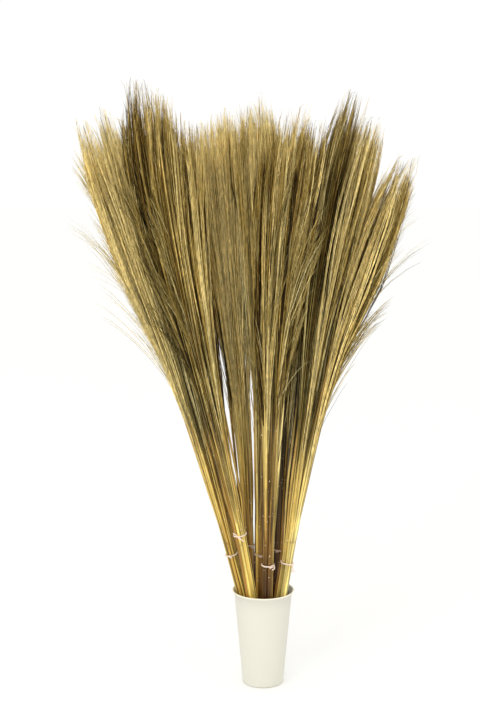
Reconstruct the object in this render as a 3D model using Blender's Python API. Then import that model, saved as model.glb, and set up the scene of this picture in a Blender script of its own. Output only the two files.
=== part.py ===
"""A bundle of dried broom grass: seven tied bunches of flowering stems fanned out in a tapered vase.

Metres, +Z up. The origin is the centre of the vase's base, and the viewer stands at -Y.
"""

import math
import random
from dataclasses import dataclass

import bmesh
import bpy
from mathutils import Vector

# Vase
VASE_HEIGHT = 0.150
VASE_BASE_RADIUS = 0.0317
VASE_TOP_RADIUS = 0.0444
VASE_WALL = 0.0023
VASE_FLOOR = 0.006
VASE_FOOT_BEVEL = 0.0025
LIP_HEIGHT = 0.008
LIP_FLARE = 0.0039
LIP_CURVE = 0.45  # share of the flare that is reached half way up the lip
LIP_EDGE = 0.0007
VASE_SIDES = 32
MERGE_DISTANCE = 0.00001
SMOOTH_BELOW = math.radians(40)

# Heights that every stem passes
FOOT_Z = VASE_FLOOR + 0.0003
NECK_Z = 0.142
LOW_Z = 0.240
MIDDLE_Z = 0.520
CROWN_Z = 0.860
FULL_SPREAD_Z = 0.960

# Canes
CANE_RADIUS = 0.0025
CANE_GAP = 0.0003
CANE_PITCH = 2 * CANE_RADIUS + CANE_GAP
CANE_SIDES = 5
CANE_STEPS_ABOVE_TIE = 6
PLUME_CANE_RADIUS = 0.0019
PLUME_TIP_RADIUS = 0.00045
SPREAD_POWER = 1.7

# Plumes
SEED = 11
PLUME_Z = 0.395
PLUME_Z_SCATTER = 0.030
TIP_Z_SCATTER = 0.009
SPLAY_DROP = 1.4  # how much lower a stem ends, per metre that it leans further out
NEEDLES = 11
NEEDLE_SIDES = 3
NEEDLE_ROOTS = 0.55  # share of the plume's length over which they grow
NEEDLE_TIP_DROP = 0.40  # how far below the stem's tip the lowest ends, as a share of the plume
TIP_DROP_SCATTER = (0.75, 1.1)
NEEDLE_INNER_REACH = 0.55  # how far the highest stands out, as a share of the lowest
NEEDLE_OPENING = 0.8
NEEDLE_MARGIN = 0.0014  # kept clear between the needles of neighbouring stems
NEEDLE_ROOT_RADIUS = 0.0006
NEEDLE_TIP_RADIUS = 0.0004
STRAIGHT_NEEDLE = (0.0, 1.0)
CURVED_NEEDLE = (0.0, 0.45, 1.0)
ROOT_WIDTH = 0.45  # of the cane's radius, at most
ROOT_OFFSET = 0.3  # of the cane's radius, towards the needle's side
FLARE = 0.040  # how far the lowest outward needles bend out
STRAY_FLARE = 0.080  # the same for the one stray needle of an outermost stem
STRAY_TIP = 0.58  # where the stray ends, as a share of the plume
OUTERMOST = 0.8  # least outwardness of an outermost stem
GOLDEN_ANGLE = math.pi * (3 - math.sqrt(5))

# Strings
STRING_RADIUS = 0.0007
STRING_GAP = 0.0004
KNOT_RADIUS = 0.0017
TAIL_LENGTH = 0.015
TAIL_TURN = math.radians(38)
TAIL_DROP = math.radians(35)

# Colours, in linear light
VASE_COLOUR = (0.83, 0.82, 0.75)
GRASS_COLOUR = (0.36, 0.25, 0.10)
STRING_COLOUR = (0.72, 0.55, 0.46)


@dataclass
class Bunch:
    """One tied bunch. Its middle line passes five points, and its stems spread from the tie upwards."""

    name: str
    stems: int
    foot: tuple
    neck: tuple
    low: tuple
    middle: tuple
    crown: tuple
    spread: tuple  # distance between neighbouring stems along x and y, when fully spread
    tie_z: float
    tips: tuple  # heights of the tips one place to the left, in the middle and one place to the right
    splay: float  # how much further out the outermost stems lean
    knot_angle: float  # degrees, -90 faces the viewer


BUNCHES = (
    Bunch("left", 8, (-0.0190, 0.0), (-0.0326, -0.0030), (-0.0572, -0.0050), (-0.1318, -0.0111),
          (-0.225, -0.022), (0.0258, 0.0435), 0.208, (0.881, 0.874, 0.855), 0.014, -100),
    Bunch("front_left", 8, (-0.0095, -0.0165), (-0.0178, -0.0268), (-0.0345, -0.0337), (-0.0930, -0.0536),
          (-0.142, -0.086), (0.0320, 0.0390), 0.248, (0.930, 0.900, 0.866), 0.006, -100),
    Bunch("back_left", 7, (-0.0095, 0.0165), (-0.0200, 0.0255), (-0.0231, 0.0318), (-0.0425, 0.0522),
          (-0.070, 0.096), (0.0320, 0.0450), 0.212, (0.863, 0.882, 0.872), 0.010, -60),
    Bunch("middle", 6, (0.0, 0.0), (-0.0040, -0.0070), (-0.0039, -0.0058), (-0.0007, 0.0136),
          (-0.006, 0.030), (0.0295, 0.0430), 0.208, (0.868, 0.900, 0.862), 0.0, -90),
    Bunch("front_right", 8, (0.0095, -0.0165), (0.0055, -0.0320), (0.0074, -0.0400), (0.0146, -0.0575),
          (0.044, -0.094), (0.0310, 0.0390), 0.201, (0.866, 0.884, 0.866), 0.006, -70),
    Bunch("right", 8, (0.0190, 0.0), (0.0282, -0.0160), (0.0422, -0.0209), (0.0808, -0.0196),
          (0.148, -0.032), (0.0335, 0.0450), 0.199, (0.912, 0.870, 0.858), 0.036, -40),
    Bunch("back_right", 7, (0.0095, 0.0165), (0.0215, 0.0245), (0.0265, 0.0313), (0.0390, 0.0556),
          (0.092, 0.096), (0.0340, 0.0450), 0.205, (0.852, 0.842, 0.850), 0.014, -110),
)


@dataclass
class Stem:
    """One stem of a bunch: its place among the others, and the ends of its plume."""

    name: str
    bunch: Bunch
    place: tuple
    outwardness: float
    plume_z: float
    tip_z: float
    turn: float


def clear_scene():
    for old in list(bpy.data.objects):
        bpy.data.objects.remove(old)


def material(name, colour, roughness):
    """Makes a plain surface of one colour, given in linear light."""
    made = bpy.data.materials.new(name)
    made.use_nodes = True
    shader = made.node_tree.nodes["Principled BSDF"]
    shader.inputs["Base Color"].default_value = (*colour, 1.0)
    shader.inputs["Roughness"].default_value = roughness
    shader.inputs["Metallic"].default_value = 0.0
    return made


def as_object(name, mesh):
    """Turns an edited mesh into a named object of the scene."""
    data = bpy.data.meshes.new(name)
    mesh.to_mesh(data)
    mesh.free()
    made = bpy.data.objects.new(name, data)
    bpy.context.scene.collection.objects.link(made)
    return made


def coated(made, surface):
    """Gives the object its surface."""
    made.data.materials.clear()
    made.data.materials.append(surface)
    return made


def lofted(name, rings):
    """Makes a closed tube through rings of equal size, with a flat cap on each end."""
    mesh = bmesh.new()
    loops = [[mesh.verts.new(corner) for corner in ring] for ring in rings]
    count = len(rings[0])
    for low, high in zip(loops, loops[1:]):
        for i in range(count):
            j = (i + 1) % count
            mesh.faces.new((low[i], low[j], high[j], high[i]))
    mesh.faces.new(reversed(loops[0]))
    mesh.faces.new(loops[-1])
    return as_object(name, mesh)


def level_ring(centre, radius, sides, turn):
    """Corners of a level ring, anticlockwise seen from above."""
    angles = [turn + 2 * math.pi * i / sides for i in range(sides)]
    return [centre + radius * Vector((math.cos(a), math.sin(a), 0)) for a in angles]


def facing_ring(centre, along, radius, sides):
    """Corners of a ring that faces along a direction that isn't straight up."""
    across = along.cross(Vector((0, 0, 1))).normalized()
    over = across.cross(along).normalized()
    angles = [2 * math.pi * i / sides for i in range(sides)]
    return [centre + radius * (math.cos(a) * over + math.sin(a) * -across) for a in angles]


def fuse(body, extras):
    """Joins the extras to the body with one Boolean union, applies it and removes them."""
    together = bpy.data.collections.new("extras")
    for extra in extras:
        together.objects.link(extra)
    union = body.modifiers.new("union", "BOOLEAN")
    union.operation = "UNION"
    union.operand_type = "COLLECTION"
    union.collection = together
    union.solver = "EXACT"
    graph = bpy.context.evaluated_depsgraph_get()
    joined = bpy.data.meshes.new_from_object(body.evaluated_get(graph))
    joined.name = body.name
    body.modifiers.clear()
    body.data = joined
    for extra in extras:
        bpy.data.objects.remove(extra)
    bpy.data.collections.remove(together)
    return body


def through(heights, values, z):
    """The smooth cubic that passes four values at four heights, read at height z."""
    total = 0.0
    for i, value in enumerate(values):
        weight = 1.0
        for j, other in enumerate(heights):
            if j != i:
                weight *= (z - other) / (heights[i] - other)
        total += value * weight
    return total


def middle_line(bunch, z):
    """The bunch's middle at height z. It runs straight inside the vase and curves above it."""
    heights = (NECK_Z, LOW_Z, MIDDLE_Z, CROWN_Z)
    stations = (bunch.neck, bunch.low, bunch.middle, bunch.crown)
    if z < NECK_Z:
        share = (z - FOOT_Z) / (NECK_Z - FOOT_Z)
        return [low + (high - low) * share for low, high in zip(bunch.foot, bunch.neck)]
    return [through(heights, [station[axis] for station in stations], z) for axis in (0, 1)]


def spreading(bunch, z):
    """How far the bunch has opened at height z: 0 up to the tie, 1 when fully spread."""
    share = (z - bunch.tie_z) / (FULL_SPREAD_Z - bunch.tie_z)
    return math.sin(math.pi / 2 * min(max(share, 0.0), 1.0)) ** SPREAD_POWER


def pitch(bunch, z):
    """Distance between neighbouring stems along x and y at height z."""
    return [CANE_PITCH + (full - CANE_PITCH) * spreading(bunch, z) for full in bunch.spread]


def outward(bunch):
    """The level direction in which the bunch leans."""
    lean = Vector(bunch.crown) - Vector(bunch.foot)
    return lean.normalized()


def stem_centre(stem, z):
    """The middle of the stem at height z."""
    bunch = stem.bunch
    x, y = middle_line(bunch, z)
    along_x, along_y = pitch(bunch, z)
    lean = outward(bunch) * (bunch.splay * stem.outwardness ** 2 * spreading(bunch, z))
    return Vector((x + along_x * stem.place[0] + lean.x, y + along_y * stem.place[1] + lean.y, z))


def stem_radius(stem, z):
    """Full width up to the tie, then thinner to the plume, and thinnest at the tip."""
    tie_z = stem.bunch.tie_z
    if z <= tie_z:
        return CANE_RADIUS
    if z <= stem.plume_z:
        share = (z - tie_z) / (stem.plume_z - tie_z)
        return CANE_RADIUS + (PLUME_CANE_RADIUS - CANE_RADIUS) * share
    share = (z - stem.plume_z) / (stem.tip_z - stem.plume_z)
    return PLUME_CANE_RADIUS + (PLUME_TIP_RADIUS - PLUME_CANE_RADIUS) * share


def places_in(bunch):
    """One stem in the middle and the others in a ring round it, in pitches, the first at the knot."""
    count = bunch.stems - 1
    radius = max(1.0, 0.5 / math.sin(math.pi / count))
    angles = [math.radians(bunch.knot_angle) + 2 * math.pi * i / count for i in range(count)]
    return [(0.0, 0.0)] + [(radius * math.cos(a), radius * math.sin(a)) for a in angles]


def tip_height(bunch, across):
    """Height of the tips across the bunch, in places to the right of its middle."""
    left, middle, right = bunch.tips
    return middle + (right - left) / 2 * across + ((left + right) / 2 - middle) * across ** 2


def stems_of(bunch, chance):
    """Lays out the stems of a bunch."""
    stems = []
    for number, place in enumerate(places_in(bunch), 1):
        outside = Vector(place).normalized().dot(outward(bunch)) if number > 1 else 0.0
        plume_z = PLUME_Z + PLUME_Z_SCATTER * chance.uniform(-1, 1)
        tip_z = tip_height(bunch, place[0]) + TIP_Z_SCATTER * chance.uniform(-1, 1)
        tip_z -= SPLAY_DROP * bunch.splay * max(0.0, outside) ** 2
        turn = chance.uniform(0, math.tau)
        name = f"{bunch.name}_stem_{number}"
        stems.append(Stem(name, bunch, place, max(0.0, outside), plume_z, tip_z, turn))
    return stems


def cane(stem):
    """The stem's cane, which runs on through the plume as its slim core."""
    tie_z = stem.bunch.tie_z
    rise = (stem.tip_z - tie_z) / CANE_STEPS_ABOVE_TIE
    heights = [FOOT_Z, NECK_Z] + [tie_z + rise * i for i in range(CANE_STEPS_ABOVE_TIE + 1)]
    rings = [level_ring(stem_centre(stem, z), stem_radius(stem, z), CANE_SIDES, stem.turn) for z in heights]
    return lofted(stem.name, rings)


def needle(stem, number, chance):
    """One needle of the plume. The lowest ones reach out furthest, and the highest ones end the plume."""
    rank = (number + 0.5) / NEEDLES
    length = stem.tip_z - stem.plume_z
    root_z = stem.plume_z + NEEDLE_ROOTS * length * rank
    tip_z = stem.tip_z - NEEDLE_TIP_DROP * length * (1 - rank) * chance.uniform(*TIP_DROP_SCATTER)
    angle = stem.turn + GOLDEN_ANGLE * number
    aim = Vector((math.cos(angle), math.sin(angle)))
    out = outward(stem.bunch)
    reach = 1 - (1 - NEEDLE_INNER_REACH) * rank
    flare = FLARE * stem.outwardness * max(0.0, aim.dot(out)) * (1 - rank)
    if number == 0 and stem.outwardness > OUTERMOST:
        tip_z = stem.plume_z + STRAY_TIP * length
        flare = STRAY_FLARE
    cane_radius = stem_radius(stem, root_z)
    root_radius = min(NEEDLE_ROOT_RADIUS, ROOT_WIDTH * cane_radius)
    rings = []
    for share in CURVED_NEEDLE if flare > 0 else STRAIGHT_NEEDLE:
        z = root_z + (tip_z - root_z) * share
        opened = reach * share ** NEEDLE_OPENING
        room_x, room_y = [across / 2 - NEEDLE_MARGIN for across in pitch(stem.bunch, z)]
        aside = Vector((aim.x * room_x, aim.y * room_y)) * opened
        aside += aim * (ROOT_OFFSET * cane_radius * (1 - share))
        aside += out * (flare * share ** 2)
        radius = root_radius + (NEEDLE_TIP_RADIUS - root_radius) * share
        rings.append(level_ring(stem_centre(stem, z) + aside.to_3d(), radius, NEEDLE_SIDES, angle))
    return lofted(f"{stem.name}_needle_{number}", rings)


def make_stem(stem, surface, chance):
    """A cane with its plume of needles, as one solid."""
    needles = [needle(stem, number, chance) for number in range(NEEDLES)]
    return coated(fuse(cane(stem), needles), surface)


def tied_centre(bunch, place):
    """The middle of the cane that has this place in the bunch, at the height of the string."""
    x, y = middle_line(bunch, bunch.tie_z)
    return Vector((x + CANE_PITCH * place[0], y + CANE_PITCH * place[1], bunch.tie_z))


def string_loop(bunch):
    """Points and outward directions of the string round the bunch: three on each outer cane."""
    turn = math.pi / (bunch.stems - 1)
    away = CANE_RADIUS + STRING_GAP + STRING_RADIUS
    points = []
    for place in places_in(bunch)[1:]:
        facing = math.atan2(place[1], place[0])
        centre = tied_centre(bunch, place)
        for angle in (facing - turn, facing, facing + turn):
            direction = Vector((math.cos(angle), math.sin(angle), 0))
            points.append((centre + away * direction, direction))
    return points


def string_band(bunch):
    """The closed loop of string, square in section with its corners outward and up."""
    mesh = bmesh.new()
    up = Vector((0, 0, STRING_RADIUS))
    loops = []
    for point, direction in string_loop(bunch):
        out = direction * STRING_RADIUS
        loops.append([mesh.verts.new(point + corner) for corner in (out, up, -out, -up)])
    for here, there in zip(loops, loops[1:] + loops[:1]):
        for i in range(len(here)):
            j = (i + 1) % len(here)
            mesh.faces.new((here[i], there[i], there[j], here[j]))
    return as_object(f"{bunch.name}_tie", mesh)


def knot_ball(centre):
    mesh = bmesh.new()
    bmesh.ops.create_icosphere(mesh, subdivisions=1, radius=KNOT_RADIUS)
    bmesh.ops.translate(mesh, vec=centre, verts=mesh.verts)
    return as_object("knot", mesh)


def string_tail(knot, angle):
    """A loose end of the string, which leaves the knot along an angle and droops."""
    level = Vector((math.cos(angle), math.sin(angle), 0))
    rings = []
    for share in (0.0, 0.5, 1.0):
        dip = TAIL_DROP * (1 + share)
        along = level * math.cos(dip) - Vector((0, 0, math.sin(dip)))
        rings.append(facing_ring(knot + along * TAIL_LENGTH * share, along, STRING_RADIUS, NEEDLE_SIDES))
    return lofted("tail", rings)


def make_tie(bunch, surface):
    """The string round a bunch, with its knot and two loose ends, as one solid."""
    facing = math.radians(bunch.knot_angle)
    away = CANE_RADIUS + STRING_GAP + KNOT_RADIUS
    knot = tied_centre(bunch, places_in(bunch)[1]) + away * Vector((math.cos(facing), math.sin(facing), 0))
    tails = [string_tail(knot, facing + turn) for turn in (-TAIL_TURN, TAIL_TURN)]
    return coated(fuse(string_band(bunch), [knot_ball(knot)] + tails), surface)


def wall_radius(z):
    """Outside radius of the vase's straight taper at height z."""
    share = z / (VASE_HEIGHT - LIP_HEIGHT)
    return VASE_BASE_RADIUS + (VASE_TOP_RADIUS - VASE_BASE_RADIUS) * share


def vase_profile():
    """Radius and height of the vase's outline, from the middle of its base round to that of its floor."""
    body_top = VASE_HEIGHT - LIP_HEIGHT
    lip_middle = body_top + LIP_HEIGHT / 2
    half_flared = VASE_TOP_RADIUS + LIP_CURVE * LIP_FLARE
    lip = VASE_TOP_RADIUS + LIP_FLARE
    bevel_cut = VASE_FOOT_BEVEL * (1 - math.sqrt(0.5))
    return [
        (0.0, 0.0),
        (VASE_BASE_RADIUS - VASE_FOOT_BEVEL, 0.0),
        (VASE_BASE_RADIUS - bevel_cut, bevel_cut),
        (wall_radius(VASE_FOOT_BEVEL), VASE_FOOT_BEVEL),
        (VASE_TOP_RADIUS, body_top),
        (half_flared, lip_middle),
        (lip, VASE_HEIGHT - LIP_EDGE),
        (lip - LIP_EDGE, VASE_HEIGHT),
        (lip - VASE_WALL, VASE_HEIGHT - LIP_EDGE),
        (half_flared - VASE_WALL, lip_middle),
        (VASE_TOP_RADIUS - VASE_WALL, body_top),
        (wall_radius(VASE_FLOOR) - VASE_WALL, VASE_FLOOR),
        (0.0, VASE_FLOOR),
    ]


def make_vase(surface):
    """The vase, turned from its outline."""
    mesh = bmesh.new()
    outline = [mesh.verts.new((radius, 0, z)) for radius, z in vase_profile()]
    edges = [mesh.edges.new(pair) for pair in zip(outline, outline[1:])]
    bmesh.ops.spin(
        mesh,
        geom=outline + edges,
        axis=(0, 0, 1),
        cent=(0, 0, 0),
        angle=math.tau,
        steps=VASE_SIDES,
        use_merge=True,
    )
    bmesh.ops.remove_doubles(mesh, verts=mesh.verts, dist=MERGE_DISTANCE)
    bmesh.ops.recalc_face_normals(mesh, faces=mesh.faces)
    vase = coated(as_object("vase", mesh), surface)
    vase.data.shade_smooth()
    vase.data.set_sharp_from_angle(angle=SMOOTH_BELOW)
    return vase


def main():
    clear_scene()
    glaze = material("vase", VASE_COLOUR, 0.55)
    thread = material("tie", STRING_COLOUR, 0.85)
    straw = material("grass", GRASS_COLOUR, 0.70)
    make_vase(glaze)
    chance = random.Random(SEED)
    for bunch in BUNCHES:
        for stem in stems_of(bunch, chance):
            make_stem(stem, straw, chance)
        make_tie(bunch, thread)


main()
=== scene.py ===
"""The looks of a bundle of dried broom grass that stands in a tapered vase.

Metres, +Z up. The origin is the centre of the vase's base, and the viewer stands at -Y.
"""

import math
from dataclasses import dataclass

import bpy
import numpy as np
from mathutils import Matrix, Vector


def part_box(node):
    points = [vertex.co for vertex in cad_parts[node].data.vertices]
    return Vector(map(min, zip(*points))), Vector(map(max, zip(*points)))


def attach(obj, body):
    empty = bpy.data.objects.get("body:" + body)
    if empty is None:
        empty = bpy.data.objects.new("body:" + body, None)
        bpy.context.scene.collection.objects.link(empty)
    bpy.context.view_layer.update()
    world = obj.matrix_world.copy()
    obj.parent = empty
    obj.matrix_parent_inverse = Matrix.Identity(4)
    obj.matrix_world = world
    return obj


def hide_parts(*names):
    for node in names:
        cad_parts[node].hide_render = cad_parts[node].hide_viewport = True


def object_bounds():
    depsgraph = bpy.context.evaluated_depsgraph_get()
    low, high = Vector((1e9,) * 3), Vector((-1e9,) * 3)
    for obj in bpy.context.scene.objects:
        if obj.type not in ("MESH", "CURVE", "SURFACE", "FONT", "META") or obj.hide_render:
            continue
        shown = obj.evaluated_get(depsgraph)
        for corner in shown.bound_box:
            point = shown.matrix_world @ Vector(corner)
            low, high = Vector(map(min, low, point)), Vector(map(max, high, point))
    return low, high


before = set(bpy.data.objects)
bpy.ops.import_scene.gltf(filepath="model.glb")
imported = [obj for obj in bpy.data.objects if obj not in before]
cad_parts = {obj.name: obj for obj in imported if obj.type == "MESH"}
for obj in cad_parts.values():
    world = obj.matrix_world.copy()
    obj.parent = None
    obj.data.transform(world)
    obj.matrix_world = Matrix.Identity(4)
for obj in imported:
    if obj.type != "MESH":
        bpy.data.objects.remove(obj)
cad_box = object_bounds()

# Camera
CAMERA_PLACE = (-0.036, -2.16, 0.873)
CAMERA_DIP = math.radians(9.5)
CAMERA_LENS = 72.25
SENSOR = 36.0

# Vase
VASE_HEIGHT = 0.150
VASE_BASE_RADIUS = 0.0317
VASE_TOP_RADIUS = 0.0444
VASE_WALL = 0.0023
VASE_FLOOR = 0.006
VASE_FOOT_BEVEL = 0.0025
LIP_HEIGHT = 0.008
LIP_FLARE = 0.0039
LIP_BEND = 1.15  # power of the curve by which the lip flares out
VASE_SIDES = 144
FOOT_POINTS = 7
BODY_POINTS = 24
LIP_POINTS = 9
PAINTED_RIM_HIGHLIGHT_Z = (VASE_HEIGHT - 0.0018, VASE_HEIGHT - 0.0006)  # where the rim's painted highlight starts and is full
PAINTED_LIP_SHADE_Z = (0.126, 0.142)  # where the painted shade below the lip starts and is full
PAINTED_LIP_SHADE_END = 0.003  # how far below the top the painted shade ends

# Heights that every stem passes
FOOT_Z = VASE_FLOOR + 0.0003
NECK_Z = 0.142
LOW_Z = 0.240
MIDDLE_Z = 0.520
CROWN_Z = 0.860
FULL_SPREAD_Z = 0.960
SPREAD_POWER = 1.7

# Canes
CANE_RADIUS = 0.0025
CANE_PITCH = 0.0053
CANE_SIDES = 10
CANE_RING_STEP = 0.014
PLUME_CANE_RADIUS = 0.0020
PLUME_TIP_RADIUS = 0.0003
JOINTS = 3
JOINT_SPACING = (-0.02, 0.240)
JOINT_SWELL = 0.10  # how much thicker a cane is at its joints
JOINT_LENGTH = 0.0022
JOINT_EDGE = 0.0004
CANE_SCATTER = 0.16
GRAIN_SHIFT = 50  # how far a surface's shift moves the grain of its canes
HIDDEN_PAINTED_SHADE = 0.40  # painted shade: how much darker canes are among the hair, which shades them
HIDDEN_RISE = 0.04  # how far up the plume that begins
HIDDEN_SLOPE = 0.3  # how much higher where hair starts higher
HIDDEN_LENGTH = 0.08
SIDE_CANE_SIDES = 8
SIDE_CANE_RINGS = 14
SIDE_CANE_START = 0.006  # above the string
BULGE_Z = 0.310
SIDE_CANE_END_Z = 0.600
SIDE_CANE_RADIUS = 0.0018
SIDE_CANE_WIDTHS = (0.3, 1, 0.9, 0.3)  # at its start, the bulge, the plume and its end
SIDE_CANE_BULGES = (0.2, 1, 0.3)
SIDE_CANE_BETWEEN = (0.42, 0.58)  # how far it stands from one stem towards another
SIDE_CANE_SHADE = 0.12
LOOSE_CANE_RADIUS = 0.0021
LOOSE_CANE_WIDTHS = (1, 0.8, 0.3)  # at its foot, the plume and its end
LOOSE_CANE_FOOT = 0.75  # how far its foot stands out, as a share of its place at the rim
# painted shade: how much darker the loose canes are, which stand in shade behind the bunches
LOOSE_CANE_PAINTED_SHADE = 0.24

# Plumes
PLUME_Z = 0.395
LOCKS = 78
HAIRS_PER_LOCK = 4
HAIR_SIDES = 3
HAIR_RINGS = 7
HAIR_RADIUS = 0.00056
HAIR_TIP_RADIUS = 0.00032
HAIR_RADIUS_SCATTER = (0.75, 1.2)
HAIR_SHARES = (0, 0.15, 0.55, 1)
HAIR_WIDTHS = (0.75, 1, 1, HAIR_TIP_RADIUS / HAIR_RADIUS)
HAIR_START = 0.5  # how far up its lock a hair may start
HAIR_START_POWER = 1.5
HAIR_TIP_DROP = 0.06
HIGHEST_ROOT = 0.66  # share of the plume up to which hairs grow
ROOT_POWER = 1.35  # above 1, more hairs grow low than high
LOCK_REACH = (0.03, 1.30)  # squared distance of a lock from its cane, in half pitches
LOCK_TIP_DROP = 0.24
LOCK_TIP_POWER = 1.3
LOCK_TIP_SCATTER = (0.1, 1.1)
LOCK_WIDTH = 0.0006
LOCK_TIP_WIDTH = 0.0012
LOCK_WIDTH_POWER = 2.5
LOCK_ROOT_WIDTH = 0.35
LOCK_PARTING = 2
LOCK_WAVE = 0.0010
WAVE_SPEED = 9
LOCK_DRIFT = 0.45
DRIFT_START = 0.2
OPENING = 1.9  # how fast locks reach their place
OPENING_POWER = 0.8
LOOSE_HAIRS = 0.12  # share of hairs that wander out of their lock
LOOSE_WIDTH = 1.6
STEM_SCATTER = 0.09
LOCK_SCATTER = 0.22
HAIR_SCATTER = 0.20
DARK_HAIRS = 0.24  # share of hairs that are much darker
DARKER = 0.42
CORE_PAINTED_SHADE = 0.40  # painted shade: how much darker the innermost hairs are than the outermost
CORE_REACH = 0.8
# painted shade: how much darker hairs and stems are towards the bunch's back
BACK_PAINTED_SHADE = 0.07
RISE_LIGHT = 0.14  # how much lighter hair is at the plume's top than at its foot
FADE_START = 0.80  # share of the plume above which hair gets paler and more alike
FADE_LIGHT = 0.16
FADE_LIKENESS = 0.4
OLIVE_SCATTER = 0.22
OLIVE_FALL = 0.6  # how fast the share of grey green falls up the plume
OLIVE_HEIGHT = 0.40
CLUMPS = 5  # pointed clumps that a plume ends in
CLUMP_LENGTH = 0.20
CLUMP_SCATTER = 0.14
CLUMP_TURN_SCATTER = 0.25
CLUMP_REACH = (0.45, 0.90)
MIDDLE_PEAK = (1.0, 1.03)
OUTER_PEAKS = (0.95, 1.02)
GATHERING = 0.6  # how far locks gather into their clump
GATHERING_POWER = 1.3
SECTOR_SCATTER = 0.13  # how much the sides of one plume differ in brightness
HUGGING = 0.90
HUGGING_SHARE = 0.38  # up to this share of the plume its outer hairs keep close to the canes
SWELL_SHARES = (0.30, 0.55, 0.80, 1.0)
SWELL_SIZES = (0, 1, 0.8, 0.1)
SWELL_SCATTER = (0.2, 1.0)
SWELL_SIDE = 0.4  # above 0, locks beside the outer side swell too
LAG_SIDE = 0.5  # the same for the locks that stay behind where a stem splays
LAG_END = 1.25
BEND_POWER = 4
STRAY_GROUPS = 9
HAIRS_PER_STRAY_GROUP = 3
OUTER_STRAYS = (0.05, 0.090, 0.35)  # lowest root, how far they bend out, and scatter of their heading
INNER_STRAYS = (-0.06, 0.024, 1.4)
TUFTS = 7
HAIRS_PER_TUFT = 16
TUFT_LOWEST = 0.16
TUFT_FLARE = 0.054
TUFT_TURN_SCATTER = 0.30
LEAVING_RINGS = 7
LEAVING_RADIUS = 0.0005
LEAVING_HIGHEST = 0.58
LEAVING_LENGTH = (0.24, 0.42)
LEAVING_ROOT_SCATTER = 0.06
LEAVING_TIP_DROP = 0.09
LEAVING_TIP_POWER = 1.5
LEAVING_TOP = 0.97
LEAVING_OPENING = 2.2
LEAVING_PACE = 1.2
LEAVING_THINNING = 0.6
LEAVING_WIDTHS = (0.6, 1.15)
LEAVING_TURN_SCATTER = 0.12
LEAVING_TINT_SCATTER = 0.12
LEAVING_LIGHT = 0.12  # how much lighter they are at their tips
LEAVING_SHADE = (-0.08, 0.24)  # middle and scatter of each hair's own brightness
LEAVING_OLIVE = (0.45, 0.2)
FLARE_SCATTER = (0.15, 1)
FLARE_POWER = 1.2
FLARE_SHARES = (0.0, 0.15, 0.6)
FLARE_SIZES = (0.2, 1.0, 0.7)
SWAY = 0.0016
OUTER = 0.35  # least outwardness of a stem with tufts on its side
OUTERMOST = 0.8
ROOM = 0.010  # how far hairs may reach beyond the solids
FRINGE = 300
FRINGE_RINGS = 3
FRINGE_FIRST_RING = 2
FRINGE_RADIUS = 0.00033
FRINGE_WIDTHS = (0.7, 1.2)
FRINGE_THINNING = 0.4
FRINGE_LENGTH = (0.014, 0.045)
FRINGE_SLANT = (0.08, 0.30)
FRINGE_BEND = 1.5
FRINGE_LIGHT = 0.16
FRINGE_ROOM = 0.004  # how far above the stem's tip it may reach
FRINGE_ROOM_STEP = 0.0001
GOLDEN_ANGLE = math.pi * (3 - math.sqrt(5))

# Strings
STRING_RADIUS = 0.0007
STRING_GAP = 0.0004
STRING_SIDES = 6
PLY_RADIUS = 0.00055
PLY_OFFSET = 0.00045
TWIST_LENGTH = 0.0042
STRING_STEP = 0.0005
TURNS = 2
TURNS_RISE = 0.0012
SLOPE_STEP = 0.01
KNOT_SIZE = 0.00055
KNOT_RINGS = 50
KNOT_DEPTH = 0.8
KNOT_WIDTH = 1.3
TAIL_RINGS = 8
TAIL_DRIFT = 0.10  # how far a loose end stands off, as a share of its length

# Parts of the flat map: left and right edge, and columns
CANE_SHEET = (0.0, 0.05, 1)
SIDE_CANE_SHEETS = ((0.05, 0.07, 1), (0.07, 0.09, 1), (0.09, 0.11, 1))
LOOSE_CANE_SHEET = (0.11, 0.13, 1)
LONG_HAIR_SHEET = (0.13, 0.74, 20)
STRAY_SHEET = (0.74, 0.77, 2)
TUFT_SHEET = (0.77, 0.83, 4)
FRINGE_SHEET = (0.83, 1.0, 12)
TURNS_SHEET = (0.0, 0.40, 2)
KNOT_SHEET = (0.40, 0.55, 1)
TAIL_SHEETS = ((0.55, 0.70, 2), (0.70, 0.85, 2), (0.85, 1.0, 2))
WALL_CORNER = (0.06, 0.12)  # where a tube's wall starts in its rectangle
WALL_SIZE = (0.88, 0.82)
END_MIDDLE = (0.5, -0.08)  # where its flat end lies, in shares of its wall
END_RADII = (0.45, 0.05)
TURNED_MARGIN = 0.01
TURNED_SIZE = 1 - 2 * TURNED_MARGIN
FIRST_SLOT = 0
HAIR_SLOT = 1

# Light and floor
LAMP_AIM = (0, 0, 0.5)
KEY_LAMP = ((-1.5, -2.4, 1.9), 1.4, 13)  # place, size and power
FILL_LAMP = ((-0.1, -2.5, 1.2), 0.8, 10)
WORLD_COLOUR = (1.0, 1.0, 0.99, 1)
WORLD_LIGHT = 1.03
FLOOR_HALF = 12.0
FLOOR_DROP = 0.0002

TOWARDS_VIEWER = np.array((0.0, -1.0, 0.0))
UP = np.array((0.0, 0.0, 1.0))


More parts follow.
